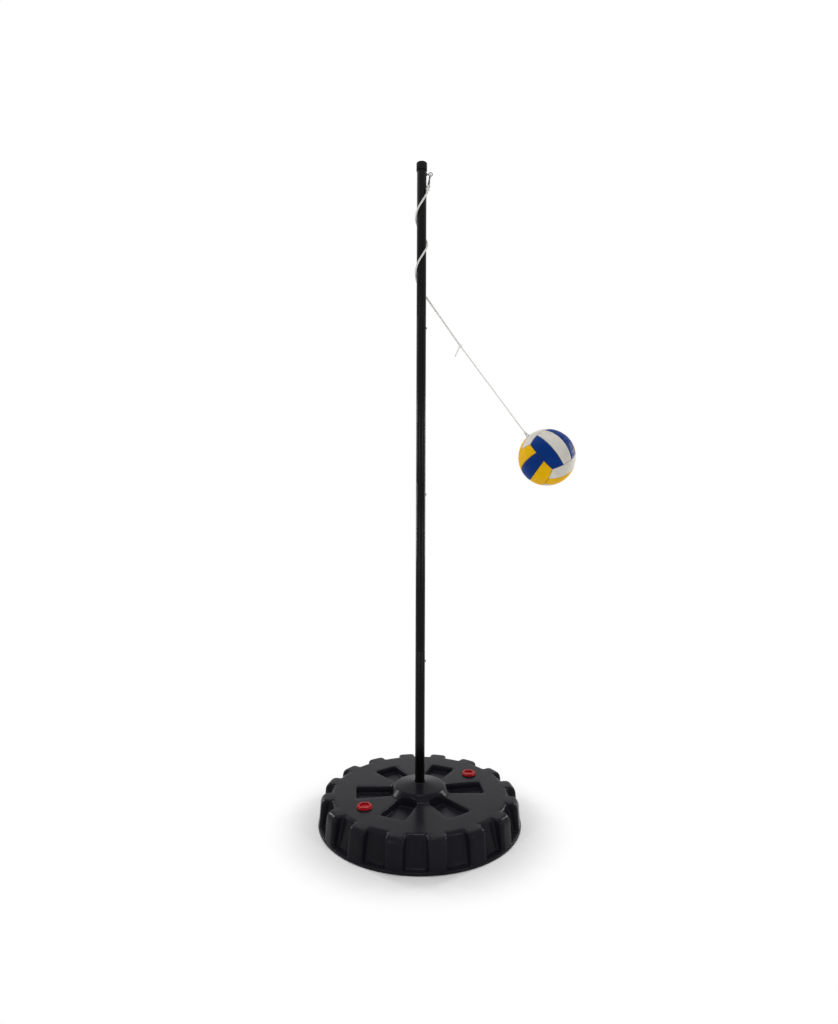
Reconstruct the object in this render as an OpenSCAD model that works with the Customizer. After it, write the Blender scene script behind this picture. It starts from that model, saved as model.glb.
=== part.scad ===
// Portable tetherball set: a sectional steel pole stands in a round fillable base,
// and a volleyball hangs from a swivel snap near the top of the pole on a rope.
// Millimetres. +Z is up, the origin is on the floor at the pole's axis, and the
// ball swings out towards +X.

/* [Base] */
// Radius of the rim that meets the floor
rim_r = 364; // [350:1:380]
// Height of the rim
rim_h = 10; // [6:1:16]
// Height of the flat top
deck_z = 105; // [90:1:125]
// Height of the hub above the flat top
hub_rise = 34; // [24:1:44]
// Wall of the blow-moulded shell
shell = 4; // [3:0.5:5]
// Number of lobes round the side
lobe_count = 16; // [12:1:18]
// Width of one lobe
lobe_w = 62; // [50:1:70]
// Depth of the recesses between the lobes
lobe_depth = 30; // [20:1:36]
// Turn of the lobes from the front
lobe_turn = 9.25; // [0:0.25:22]
// Number of pockets in the top
pocket_count = 6; // [4:1:6]
// Depth of the pockets
pocket_depth = 22; // [14:1:30]
// Distance from the axis to the inner end of a pocket
pocket_in = 96; // [94:1:106]
// Distance from the axis to the outer end of a pocket
pocket_out = 230; // [210:1:240]
// Half width of a pocket at its inner end
pocket_half_in = 36; // [28:1:40]
// Half width of a pocket at its outer end
pocket_half_out = 48; // [36:1:56]
// Turn of the pockets from the front
pocket_turn = 36; // [30:1:42]

/* [Filler caps] */
// Distance from the axis to each filler neck
filler_r = 234; // [225:1:250]
// Turn of the first filler neck from the front
filler_turn = -54; // [-60:1:-48]
// Bore of a filler neck
neck_bore = 36; // [30:1:40]
// Depth of a filler neck
neck_depth = 16; // [12:1:20]
// Across the flange of a filler cap
cap_flange_d = 54; // [54:1:60]
// Across the corners of the cap's six-sided grip
cap_grip_d = 52; // [46:1:53]
// Height of the grip above the flange
cap_grip_h = 4; // [3:1:8]
// Thickness of the rubber washer
seal_t = 1.5; // [1:0.5:3]

/* [Pole] */
// Outside diameter of the tube
tube_d = 35; // [32:0.5:36]
// Wall of the tube
tube_wall = 1.2; // [1:0.1:1.5]
// Height of the lowest joint above the floor
first_joint_z = 613; // [580:1:640]
// Height of one section between joints
section_pitch = 606; // [580:1:630]
// Height of the whole pole
pole_top_z = 2388; // [2375:1:2405]
// Length of the narrowed end that goes into the tube below
spigot_len = 75; // [65:1:90]
// Height of the moulded cap on the pole
top_cap_h = 29; // [20:1:34]
// Height of the floor inside the base's socket
socket_floor = 8; // [5:1:12]

/* [Snap buttons] */
// Diameter of a button
button_d = 8; // [6:0.5:9]
// How far a button stands out of the tube
button_out = 3.5; // [2.5:0.5:5]
// Distance from a joint down to its button
button_drop = 38; // [34:1:45]
// Thickness of the spring strip
strip_t = 0.8; // [0.6:0.1:1]

/* [Eye bolt] */
// Distance from the top of the pole down to the eye
eye_drop = 41; // [37:1:50]
// Distance from the pole's axis to the centre of the eye
eye_reach = 32; // [31:0.5:35]
// Thickness of the eye's wire
eye_wire = 3.5; // [3:0.25:4]
// Inside diameter of the eye
eye_hole = 10; // [9.5:0.5:12]
// Diameter of the eye bolt's shank
shank_d = 5; // [4:0.5:6]

/* [Snap hook] */
// Thickness of the hook's wire
hook_wire = 3.5; // [3:0.25:4]
// Inside width of the hook
hook_gap = 10; // [9.5:0.5:12]
// Length from the centre of the eye to the bottom of the hook's frame
hook_len = 35; // [33:1:40]
// Travel of the sliding bolt
bolt_travel = 6; // [5:0.5:7]
// Inside diameter of the swivel's ring
swivel_hole = 7.6; // [7.4:0.1:9]

/* [Rope] */
// Diameter of the rope
rope_d = 6.5; // [5:0.5:6.5]
// Diameter of the thin cord that holds the ball
cord_d = 4.5; // [3:0.5:5]

/* [Ball] */
// Diameter of the ball
ball_d = 208; // [200:1:215]
// Thickness of the outer panels
panel_t = 2; // [1.5:0.5:3]
// Width of the seams between panels
seam_w = 1.2; // [0.8:0.2:2]
// Thickness of the wound carcass
carcass_t = 1.2; // [1:0.2:2]
// Thickness of the rubber bladder
bladder_t = 0.8; // [0.6:0.1:1.5]
// Inside diameter of the recess for the cord
cup_bore = 22; // [20:1:26]
// Depth of the recess for the cord
cup_depth = 15; // [15:1:20]

/* [Hidden] */
$fn = 64;

// Clearances
fit_gap = 0.3;       // pieces that slide past each other
tight_gap = 0.05;    // pieces that stay together
screw_gap = 0.4;     // filler cap in its neck
swivel_gap = 0.06;   // swivel's stem in the hook
wrap_gap = 0.45;     // wound rope off the pole

// Base
black_plastic = "#3c3c40";
black_steel = "#1d1d1f";
grey_metal = "#8f9092";
rope_white = "#e8e6e0";
front = -90;         // the front of the object looks along -Y
wall_low_r = rim_r - lobe_depth + 8;
wall_high_r = rim_r - lobe_depth - 12;
deck_edge_r = wall_high_r - 16;
lobe_low_r = rim_r - 2;
lobe_high_r = lobe_low_r - 5;
lobe_deck_r = lobe_high_r - 21;
lobe_corner_r = 12;
wall_turn_z = deck_z - 16;
lobe_turn_z = deck_z - 31;
hub_z = deck_z + hub_rise;
plateau_r = 88;
plateau_z = deck_z + hub_rise * 0.6;
skirt_r = plateau_r + 22;
collar_r = 26;
socket_r = tube_d / 2 + fit_gap;
pocket_draft = 5;
filler_turns = [filler_turn, filler_turn + 180];
cap_seat_z = deck_z + seal_t;
cap_flange_t = 3;
cap_bevel = 0.65;     // the flange's bevel, clear of the grip's corners
cap_bevel_h = 1;
seal_r = 24;
cap_wall = 3;
cap_rim = 7;          // the grip's rim, at its corners
cap_grip_turn = 24;   // sets two corners level with the ball's side
cap_plug_r = neck_bore / 2 - screw_gap;
cap_plug_len = 13;

// Pole
tube_r = tube_d / 2;
bore_r = tube_r - tube_wall;
spigot_r = bore_r - 0.15;
spigot_bore_r = spigot_r - tube_wall;
taper_h = 4;
taper_slope = (tube_r - spigot_r) / taper_h;
taper_drop = (bore_r - spigot_r) / taper_slope;
foot_t = 3;
tube_foot_z = socket_floor + foot_t;
top_cap_wall = 2;
top_cap_t = 4;
tube_top_z = pole_top_z - top_cap_t;
joint_z = [for (i = [0 : 2]) first_joint_z + i * section_pitch];
button_z = [for (z = joint_z) z - button_drop];
button_hole_r = button_d / 2 + 0.2;
button_head_t = 1;
button_head_r = button_d / 2 + 1;
button_head_x = sqrt(pow(spigot_bore_r - fit_gap, 2) - pow(button_head_r, 2));

// Eye bolt
eye_z = pole_top_z - eye_drop;
eye_centre = [eye_reach, 0, eye_z];
eye_ring_r = (eye_hole + eye_wire) / 2;
rivet_body_r = shank_d / 2 + 2;
rivet_head_r = rivet_body_r + 1.5;
rivet_head_t = 1;
lock_nut_t = 2.4;

// Snap hook, in its own frame: the eye's centre is the origin and +Z runs up the hook
hook_lean = 16.5;
hook_turn = 57;
hook_bend_r = (hook_gap + hook_wire) / 2;
hook_tip_lean = asin(sin(hook_lean) * sin(hook_turn));
hook_slack = hook_bend_r - (eye_wire + hook_wire) / 2 - fit_gap;
hook_arc_z = -(eye_ring_r * cos(hook_tip_lean)
    + sqrt(pow(hook_slack, 2) - pow(eye_ring_r * sin(hook_tip_lean), 2)));
frame_t = 5;
frame_half_x = 2.25;
frame_z = -hook_len;
barrel_r = 3.2;
barrel_bore_r = 1.75;
barrel_top_z = -17.5;
tip_z = hook_arc_z - 2.4;
bolt_r = barrel_bore_r - 0.15;
bolt_top_z = tip_z - fit_gap;
bolt_len = 10.7;
knob_z = bolt_top_z - 8.4;
knob_r = 1.4;
stem_r = 2;
stem_head_r = 3.2;
stem_head_t = 1.5;
swivel_wire = 3;
swivel_ring_r = (swivel_hole + swivel_wire) / 2;
swivel_collar_r = 4.5;
swivel_collar_h = 7;
swivel_z = frame_z - 18;
loop_r = swivel_wire / 2 + 0.4 + rope_d / 2;
loop_z = swivel_z - swivel_ring_r;
knot_r = 6;
knot_z = loop_z - loop_r - 1;
knot_end_z = knot_z - 6.5;
knot_half = loop_z - swivel_wire / 2 - fit_gap - knot_z;

// Rope on the pole: [turn from +X in degrees, height] where it passes, going down
wrap_r = tube_r + rope_d / 2 + wrap_gap;
wrap_passes = [[-630, 1932], [-585, 1955.3], [-540, 1987], [-360, 2093], [-180, 2187], [-80, 2242]];
wrap_start = -80;
turnoff_start = -585;
wrap_end = -630;
rings_per_turn = 24;

// Rope and cord off the pole, as [x, z] in the plane that touches the winding's back
upper_route = [
    [0, 1932], [12, 1915], [24, 1898], [36, 1881], [48, 1864], [60, 1847], [72, 1830],
    [84, 1813], [96, 1796], [108, 1779], [120, 1762], [132, 1745], [140, 1733.7]
];
mid_knot_at = [144, 1728];
lower_route = [
    [147.6, 1723.2], [162, 1704], [177, 1684], [192, 1664], [207, 1644], [222, 1624],
    [237, 1604], [252, 1584], [267, 1564], [282, 1544], [297, 1524], [312, 1504],
    [327, 1484], [342, 1464], [357, 1444], [372, 1424], [380.4, 1412.8]
];
ball_knot_at = [384, 1408];
tail_route = [[140, 1722], [136, 1713], [132, 1704], [128, 1696], [125, 1688]];
mid_knot_half = 7;
ball_knot_half = 6;

// Ball, hung from the small knot at its own lean
ball_r = ball_d / 2;
ball_lean = 42;
knot_to_ball = 15;
bar_depth = 7;
bar_d = 4;
bar_reach = knot_to_ball + bar_depth;
ball_reach = knot_to_ball + ball_r;
ball_turn = [-56, -25, -79];
carcass_r = ball_r - panel_t;
bladder_r = carcass_r - carcass_t;
cup_wall = 2;
cup_r = cup_bore / 2 + cup_wall;
valve_r = 4;
blue = "#10338c";
white = "#dedad2";
yellow = "#e8a91c";

// ---------- shared shapes ----------

function arc(centre, rx, rz, from, to, steps) =
    [for (i = [0 : steps]) let (a = from + (to - from) * i / steps)
        [centre[0] + rx * cos(a), centre[1] + rz * sin(a)]];

module turned(turn) {
    rotate([0, 0, front + turn]) children();
}

module ring(outer, inner, height) {
    difference() {
        cylinder(r = outer, h = height);
        translate([0, 0, -1]) cylinder(r = inner, h = height + 2);
    }
}

module torus(big, small) {
    rotate_extrude() translate([big, 0]) circle(r = small, $fn = 32);
}

function unit(v) = v / norm(v);

function heading(points, i) =
    unit((i < len(points) - 1 ? unit(points[i + 1] - points[i]) : [0, 0, 0])
        + (i > 0 ? unit(points[i] - points[i - 1]) : [0, 0, 0]));

// One closed tube swept along a route of points, with a ring of corners at each point
module swept_tube(points, diameter, sides, first = undef, last = undef) {
    count = len(points);
    headings = [for (i = [0 : count - 1])
        i == 0 && first != undef ? unit(first) :
        i == count - 1 && last != undef ? unit(last) : heading(points, i)];
    corners = [for (i = [0 : count - 1])
        let (across = unit(cross([0, 0, 1], headings[i])), up = cross(headings[i], across))
        for (k = [0 : sides - 1])
            points[i] + diameter / 2 * (cos(360 * k / sides) * across + sin(360 * k / sides) * up)];
    walls = [for (i = [0 : count - 2], k = [0 : sides - 1])
        let (a = i * sides + k, b = i * sides + (k + 1) % sides)
        each [[a, b + sides, b], [a, a + sides, b + sides]]];
    ends = [for (k = [1 : sides - 2])
        each [[0, k, k + 1], [(count - 1) * sides, (count - 1) * sides + k + 1, (count - 1) * sides + k]]];
    polyhedron(points = corners, faces = concat(walls, ends));
}

// ---------- base ----------

// Section of the shell through a recess between two lobes, drawn in by inset
function shell_section(inset) = concat(
    [[0, inset], [wall_low_r - inset, inset]],
    arc([deck_edge_r, wall_turn_z], wall_high_r - deck_edge_r - inset, deck_z - wall_turn_z - inset, 0, 90, 6),
    [[skirt_r - inset * 0.6, deck_z - inset], [plateau_r - inset * 0.6, plateau_z - inset],
     [collar_r, hub_z - 3 - inset], [0, hub_z - 3 - inset]]
);

// Section of a lobe, drawn in by inset
function lobe_section(inset) = concat(
    [[deck_edge_r - 10, inset], [lobe_low_r - inset, inset], [lobe_low_r - inset, rim_h]],
    arc([lobe_deck_r, lobe_turn_z], lobe_high_r - lobe_deck_r - inset, deck_z - lobe_turn_z - inset, 0, 90, 8),
    [[deck_edge_r - 10, deck_z - inset]]
);

// Outlines of the lobes from above, with round outer corners
module lobe_plan(inset) {
    half = lobe_w / 2 - inset;
    corner = lobe_corner_r - inset;
    reach = lobe_low_r - inset - corner;
    for (i = [0 : lobe_count - 1]) turned(lobe_turn + i * 360 / lobe_count) {
        translate([deck_edge_r - 5, -half]) square([sqrt(reach * reach - pow(half - corner, 2)) - deck_edge_r + 5, 2 * half]);
        translate([deck_edge_r - 5, -half + corner]) square([rim_r - deck_edge_r, 2 * (half - corner)]);
        for (side = [-1, 1])
            translate([sqrt(reach * reach - pow(half - corner, 2)), side * (half - corner)]) circle(r = corner);
    }
}

module shell_form(inset) {
    rotate_extrude($fn = 128) polygon(shell_section(inset));
    intersection() {
        rotate_extrude($fn = 128) polygon(lobe_section(inset));
        linear_extrude(height = deck_z + 1) lobe_plan(inset);
    }
}

// A pocket with sloping sides, open at the top; grow makes the shell's inside of it
module pocket(grow) {
    lean = atan((pocket_half_out - pocket_half_in) / (pocket_out - pocket_in));
    rows = [
        [deck_z - pocket_depth - grow, pocket_draft * (1 + grow / pocket_depth) - grow],
        [hub_z + 20, -(grow + pocket_draft * (hub_z + 20 - deck_z) / pocket_depth)]
    ];
    corners = [for (row = rows)
        let (z = row[0], draw = row[1], near = pocket_in + draw, far = pocket_out - draw)
        each [for (c = [[near, -1], [far, -1], [far, 1], [near, 1]])
            [c[0], c[1] * (pocket_half_in - draw / cos(lean) + (c[0] - pocket_in) * tan(lean)), z]]];
    polyhedron(points = corners, faces = [
        [0, 1, 2], [0, 2, 3], [4, 6, 5], [4, 7, 6],
        [0, 5, 1], [0, 4, 5], [1, 6, 2], [1, 5, 6],
        [2, 7, 3], [2, 6, 7], [3, 4, 0], [3, 7, 4]
    ]);
}

module pockets(grow) {
    for (i = [0 : pocket_count - 1]) turned(pocket_turn + i * 360 / pocket_count) pocket(grow);
}

module at_filler(side) {
    turned(filler_turns[side]) translate([filler_r, 0, 0]) children();
}

module tank() {
    color(black_plastic) difference() {
        union() {
            difference() {
                union() {
                    shell_form(0);
                    rotate_extrude($fn = 128) polygon([
                        [0, 0], [rim_r - 3, 0], [rim_r, 3], [rim_r, rim_h - 3], [rim_r - 3, rim_h], [0, rim_h]
                    ]);
                }
                pockets(0);
            }
            cylinder(r1 = collar_r, r2 = collar_r - 3, h = hub_z);
        }
        difference() {
            shell_form(shell);
            pockets(shell);
            cylinder(r = socket_r + shell, h = hub_z);
            for (side = [0, 1]) at_filler(side)
                translate([0, 0, deck_z - neck_depth]) cylinder(r = neck_bore / 2 + cap_wall, h = neck_depth);
        }
        translate([0, 0, socket_floor]) cylinder(r = socket_r, h = hub_z);
        for (side = [0, 1]) at_filler(side)
            translate([0, 0, deck_z - neck_depth - 1]) cylinder(r = neck_bore / 2, h = neck_depth + 2);
    }
}

module filler_cap(side) {
    color("#c8202a") at_filler(side) difference() {
        union() {
            translate([0, 0, cap_seat_z]) cylinder(d = cap_flange_d, h = cap_flange_t - cap_bevel_h);
            translate([0, 0, cap_seat_z + cap_flange_t - cap_bevel_h])
                cylinder(d1 = cap_flange_d, d2 = cap_flange_d - 2 * cap_bevel, h = cap_bevel_h);
            translate([0, 0, cap_seat_z]) rotate([0, 0, cap_grip_turn])
                cylinder(d = cap_grip_d, h = cap_flange_t + cap_grip_h, $fn = 6);
            translate([0, 0, cap_seat_z - cap_plug_len]) cylinder(r = cap_plug_r, h = cap_plug_len + 1);
        }
        translate([0, 0, cap_seat_z + cap_flange_t - 1]) rotate([0, 0, cap_grip_turn])
            cylinder(d = cap_grip_d - 2 * cap_rim, h = cap_grip_h + 2, $fn = 6);
        translate([0, 0, cap_seat_z - cap_plug_len - 1])
            cylinder(r = cap_plug_r - cap_wall, h = cap_plug_len);
    }
}

module filler_seal(side) {
    color("#2a2a2a") at_filler(side) translate([0, 0, deck_z])
        ring(seal_r, cap_plug_r + fit_gap, seal_t);
}

// ---------- pole ----------

module foot_plug() {
    color("#202022") translate([0, 0, socket_floor]) {
        cylinder(r = tube_r, h = foot_t);
        translate([0, 0, foot_t]) ring(bore_r - tight_gap, bore_r - 2.5, 20);
    }
}

module button_hole(z) {
    translate([bore_r - 5, 0, z]) rotate([0, 90, 0]) cylinder(r = button_hole_r, h = tube_wall + 10);
}

// Section of one tube's wall. It ends below in a narrowed spigot when it goes into another.
function tube_section(low, high, spigot) = spigot ? [
    [spigot_bore_r, low - spigot_len], [spigot_r, low - spigot_len], [spigot_r, low - taper_drop],
    [tube_r, low - taper_drop + taper_h], [tube_r, high], [bore_r, high],
    [bore_r, low + tube_wall + taper_h], [spigot_bore_r, low + tube_wall]
] : [[bore_r, low], [tube_r, low], [tube_r, high], [bore_r, high]];

// One tube, with a hole for a snap button near each joint
module pole_tube(low, high, spigot, top_hole) {
    color(black_steel) difference() {
        rotate_extrude() polygon(tube_section(low, high, spigot));
        if (spigot) button_hole(low - button_drop);
        if (top_hole) button_hole(high - button_drop);
    }
}

module pole_section_1() {
    pole_tube(tube_foot_z, joint_z[0], false, true);
}

module pole_section_2() {
    pole_tube(joint_z[0], joint_z[1], true, true);
}

module pole_section_3() {
    pole_tube(joint_z[1], joint_z[2], true, true);
}

module pole_section_4() {
    difference() {
        pole_tube(joint_z[2], tube_top_z, true, false);
        translate([0, 0, eye_z]) rotate([0, 90, 0]) cylinder(r = rivet_body_r, h = tube_d);
    }
}

module top_cap() {
    color("#161617") translate([0, 0, pole_top_z - top_cap_h]) difference() {
        rotate_extrude() polygon(concat(
            [[0, 0], [tube_r + top_cap_wall, 0]],
            arc([tube_r + top_cap_wall - 4, top_cap_h - 3], 4, 3, 0, 90, 5),
            [[0, top_cap_h]]
        ));
        translate([0, 0, -1]) cylinder(r = tube_r + tight_gap, h = top_cap_h - top_cap_t + 1);
    }
}

// ---------- snap buttons ----------

module snap_button(i) {
    tip = tube_r + button_out;
    color(grey_metal) translate([0, 0, button_z[i]]) rotate([0, 90, 0]) rotate_extrude() polygon(concat(
        [[0, button_head_x - button_head_t], [button_head_r, button_head_x - button_head_t],
         [button_head_r, button_head_x], [button_d / 2, button_head_x]],
        arc([button_d / 2 - 1.6, tip - 1.5], 1.6, 1.5, 0, 90, 4),
        [[0, tip]]
    ));
}

// A strip folded into a V: the long leg carries the button, the other bears on the far wall
module button_spring(i) {
    inner = button_head_x - button_head_t;
    far = -(spigot_bore_r - fit_gap) + 0.6;
    color("#b9bbbd") translate([0, button_d / 2, button_z[i]]) rotate([90, 0, 0])
        linear_extrude(height = button_d) polygon([
            [inner, 7], [inner, -9], [1.5, -31], [-1.5, -31], [far, 5],
            [far + strip_t, 5], [-0.4, -31 + 1.6 * strip_t], [0.4, -31 + 1.6 * strip_t],
            [inner - strip_t, -9], [inner - strip_t, 7]
        ]);
}

// ---------- eye bolt ----------

module along_x(x) {
    translate([x, 0, eye_z]) rotate([0, 90, 0]) children();
}

module rivet_nut() {
    color(grey_metal) difference() {
        union() {
            along_x(bore_r - 9) cylinder(r = rivet_body_r - tight_gap, h = tube_wall + 10);
            along_x(tube_r) cylinder(r = rivet_head_r, h = rivet_head_t);
        }
        along_x(bore_r - 20) cylinder(r = shank_d / 2 + tight_gap, h = tube_d);
    }
}

module eye_lock_nut() {
    color(grey_metal) difference() {
        along_x(tube_r + rivet_head_t) cylinder(r = shank_d * 0.9, h = lock_nut_t, $fn = 6);
        along_x(tube_r) cylinder(r = shank_d / 2 + tight_gap, h = 10);
    }
}

module eye_bolt() {
    color(grey_metal) difference() {
        union() {
            translate(eye_centre) rotate([90, 0, 0]) torus(eye_ring_r, eye_wire / 2);
            along_x(bore_r - 12) cylinder(d = shank_d, h = eye_reach - eye_ring_r - bore_r + 12);
        }
        translate(eye_centre) rotate([90, 0, 0])
            cylinder(d = eye_hole, h = shank_d + 2, center = true);
    }
}

// ---------- snap hook ----------

module on_hook() {
    translate(eye_centre) rotate([0, 0, hook_turn]) rotate([0, hook_lean, 0]) rotate([0, 0, -hook_turn]) children();
}

function hook_point(down) = eye_centre - down * [
    sin(hook_lean) * cos(hook_turn), sin(hook_lean) * sin(hook_turn), cos(hook_lean)
];

module snap_hook_body() {
    color(grey_metal) on_hook() difference() {
        union() {
            translate([0, 0, hook_arc_z]) rotate([0, 90, 0]) rotate([0, 0, 90])
                rotate_extrude(angle = 180) translate([hook_bend_r, 0]) circle(d = hook_wire, $fn = 32);
            translate([0, hook_bend_r, frame_z + 2]) cylinder(d = hook_wire, h = hook_arc_z - frame_z - 2);
            translate([0, -hook_bend_r, tip_z]) cylinder(d = hook_wire, h = hook_arc_z - tip_z);
            translate([-frame_half_x, -hook_bend_r, frame_z])
                cube([2 * frame_half_x, 2 * hook_bend_r + hook_wire / 2, frame_t]);
            translate([0, -hook_bend_r, frame_z]) cylinder(r = barrel_r, h = barrel_top_z - frame_z);
        }
        translate([0, -hook_bend_r, frame_z + 1]) cylinder(r = barrel_bore_r, h = barrel_top_z - frame_z);
        translate([-knob_r - 0.2, -hook_bend_r - 5, knob_z - bolt_travel - knob_r - fit_gap])
            cube([2 * knob_r + 0.4, 5, bolt_travel + 2 * knob_r + 2 * fit_gap]);
        translate([0, 0, frame_z - 1]) cylinder(r = stem_r + swivel_gap, h = frame_t + 2);
    }
}

module snap_bolt() {
    color("#a9abad") on_hook() translate([0, -hook_bend_r, 0]) {
        translate([0, 0, bolt_top_z - bolt_len]) cylinder(r = bolt_r, h = bolt_len);
        translate([0, 0, knob_z]) rotate([90, 0, 0]) cylinder(r = knob_r, h = 5.5);
    }
}

module snap_bolt_spring() {
    low = frame_z + 1;
    color("#b9bbbd") on_hook() translate([0, -hook_bend_r, low])
        ring(bolt_r - 0.1, 0.8, bolt_top_z - bolt_len - low);
}

module swivel_eye() {
    low = swivel_z + swivel_ring_r - 0.5;
    head_z = frame_z + frame_t + 0.1;
    color(grey_metal) on_hook() {
        rotate_extrude() polygon([
            [0, low], [swivel_wire / 2 + 0.5, low], [swivel_collar_r, frame_z - swivel_collar_h],
            [swivel_collar_r, frame_z - 0.2],
            [stem_r, frame_z - 0.2], [stem_r, head_z], [stem_head_r, head_z],
            [stem_head_r - 0.8, head_z + stem_head_t], [0, head_z + stem_head_t]
        ]);
        translate([0, 0, swivel_z]) rotate([90, 0, 0]) torus(swivel_ring_r, swivel_wire / 2);
    }
}

// ---------- rope ----------

// The rope's tied end: a loop through the swivel's ring, closed by a knot
module rope_end_knot() {
    color(rope_white) on_hook() {
        translate([0, 0, loop_z]) rotate([0, 90, 0]) torus(loop_r, rope_d / 2);
        translate([0, 0, knot_end_z]) rotate_extrude() polygon(concat(
            [[0, 0], [rope_d / 2, 0]], arc([0, knot_z - knot_end_z], knot_r, knot_half, -50, 90, 8)
        ));
    }
}

function wrap_point(turn) = [wrap_r * cos(turn), wrap_r * sin(turn), lookup(turn, wrap_passes)];

// The straight rope's heading as it leaves the pole
leave = unit([upper_route[1][0] - upper_route[0][0], 0, upper_route[1][1] - upper_route[0][1]]);

function wrap_points(from, to) = let (steps = ceil((from - to) * rings_per_turn / 360))
    [for (i = [0 : steps]) wrap_point(from + (to - from) * i / steps)];

turnoff_heading = unit(wrap_point(turnoff_start - 1) - wrap_point(turnoff_start + 1));
lead_points = [hook_point(tight_gap - knot_end_z), hook_point(tight_gap - knot_end_z + rope_d)];
winding_points = concat(lead_points, wrap_points(wrap_start, turnoff_start));

// Least space between two stretches of the winding that are half a turn or more apart
winding_gap = min([for (i = [2 : len(winding_points) - 13], j = [i + 12 : len(winding_points) - 1])
    norm(winding_points[i] - winding_points[j])]) - rope_d;
echo(least_gap_of_the_winding_to_itself = winding_gap);

module rope_winding() {
    color(rope_white) swept_tube(winding_points, rope_d, 6, lead_points[1] - lead_points[0], turnoff_heading);
}

module rope_turnoff() {
    color(rope_white) swept_tube(wrap_points(turnoff_start, wrap_end), rope_d, 6, turnoff_heading, leave);
}

function in_plane(route) = [for (p = route) [p[0], wrap_r, p[1]]];

function at_knot(place) = [place[0], wrap_r, place[1]];

// Turns +Z to run back up a route that arrives with this heading
function lean_of(route) = let (d = unit(route[len(route) - 1] - route[0])) atan2(-d[0], -d[1]);

upper_lean = lean_of(upper_route);
lower_lean = lean_of(lower_route);

module rope_upper() {
    color(rope_white) swept_tube(in_plane(upper_route), rope_d, 10, leave);
}

// A lumpy knot between two ropes, with flat ends square to each of them
module mid_knot() {
    up = norm(upper_route[len(upper_route) - 1] - mid_knot_at);
    down = norm(lower_route[0] - mid_knot_at);
    color(rope_white) translate(at_knot(mid_knot_at)) {
        rotate([0, upper_lean, 0]) rotate_extrude() polygon(concat(
            arc([0, 1], 5.5, up - 2, 0, 60, 5), [[rope_d / 2 - 0.2, up], [0, up], [0, -1]]
        ));
        rotate([0, lower_lean, 0]) rotate_extrude() polygon(concat(
            [[0, 1], [0, -down], [cord_d / 2 - 0.1, -down]], arc([0, -1], 5.5, down - 2, -60, 0, 5)
        ));
        sphere(r = 5.4);
    }
}

module knot_tail() {
    color(rope_white) difference() {
        swept_tube(in_plane(tail_route), cord_d, 8);
        translate(at_knot(mid_knot_at)) sphere(r = 5.41);
    }
}

module ball_cord() {
    color(rope_white) swept_tube(in_plane(lower_route), cord_d, 8);
}

// ---------- ball ----------

// The ball's frame at its knot: -Z runs from the knot to the ball's centre
module at_ball_knot() {
    translate(at_knot(ball_knot_at)) rotate([0, -ball_lean, 0]) children();
}

module at_ball() {
    at_ball_knot() translate([0, 0, -ball_reach]) children();
}

module ball_knot() {
    gap = norm(lower_route[len(lower_route) - 1] - ball_knot_at);
    turn_r = (bar_d + cord_d) / 2 + 0.2;
    color(rope_white) {
        at_ball_knot() {
            sphere(r = ball_knot_half - 0.8);
            translate([0, 0, -bar_reach]) rotate([90, 0, 0]) rotate([0, 0, 180])
                rotate_extrude(angle = 180) translate([turn_r, 0]) circle(d = cord_d, $fn = 32);
            for (side = [-1, 1]) translate([side * turn_r, 0, -bar_reach]) cylinder(d = cord_d, h = bar_reach - 2);
        }
        translate(at_knot(ball_knot_at)) rotate([0, lower_lean, 0]) cylinder(r = cord_d / 2, h = gap);
    }
}

module shell_ball(outer, inner) {
    difference() {
        sphere(r = outer, $fn = 96);
        sphere(r = inner, $fn = 96);
    }
}

module cup_hole() {
    translate([0, 0, ball_r - cup_depth - 20]) cylinder(r = cup_r + tight_gap, h = cup_depth + 40);
}

// The ball's panels are turned in the world, so the lean of the string is taken out first
module at_panels() {
    rotate([0, ball_lean, 0]) rotate(ball_turn) children();
}

// The valve stands behind the ball, along its own -X
module along_valve() {
    at_panels() rotate([0, -90, 0]) children();
}

module bladder() {
    color("#4a4a4c") at_ball() difference() {
        shell_ball(bladder_r, bladder_r - bladder_t);
        cup_hole();
        along_valve() cylinder(r = valve_r + tight_gap, h = ball_d);
    }
}

module carcass() {
    color("#c9c2b2") at_ball() difference() {
        shell_ball(carcass_r, bladder_r);
        cup_hole();
        along_valve() cylinder(r = valve_r + tight_gap, h = ball_d);
    }
}

// One of three panels on a face of the ball's six: side -1, 0 or 1 across the face
module panel(side) {
    half_face = 45;
    third = 15.5;
    low = side == 0 ? -third : side > 0 ? third : -half_face;
    high = side == 0 ? third : side > 0 ? half_face : -third;
    reach = 2 * ball_r;
    trim = seam_w / 2;
    // rows across the face, at two distances from the centre
    start = 3 * seam_w;
    corners = [for (d = [start, reach])
        let (y0 = d * tan(low) + trim / cos(low), y1 = d * tan(high) - trim / cos(high), x = d - trim * sqrt(2))
        each [[-x, y0, d], [x, y0, d], [x, y1, d], [-x, y1, d]]];
    polyhedron(points = corners, faces = [
        [0, 1, 2], [0, 2, 3], [4, 6, 5], [4, 7, 6],
        [0, 5, 1], [0, 4, 5], [1, 6, 2], [1, 5, 6],
        [2, 7, 3], [2, 6, 7], [3, 4, 0], [3, 7, 4]
    ]);
}

// Turns for the six faces, as [turn, sides of each colour]: strips run along each face's own X
x_faces = [[0, 90, 0], [0, -90, 0]];
y_faces = [[90, 0, 0], [-90, 0, 0]];
z_faces = [[0, 0, 0], [180, 0, 0]];

module panels(faces) {
    at_ball() difference() {
        intersection() {
            shell_ball(ball_r, carcass_r);
            at_panels() for (f = faces) rotate(f[0]) rotate([0, 0, f[1]])
                for (side = f[2]) panel(side);
        }
        cup_hole();
        along_valve() cylinder(r = valve_r + tight_gap, h = ball_d);
    }
}

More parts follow.
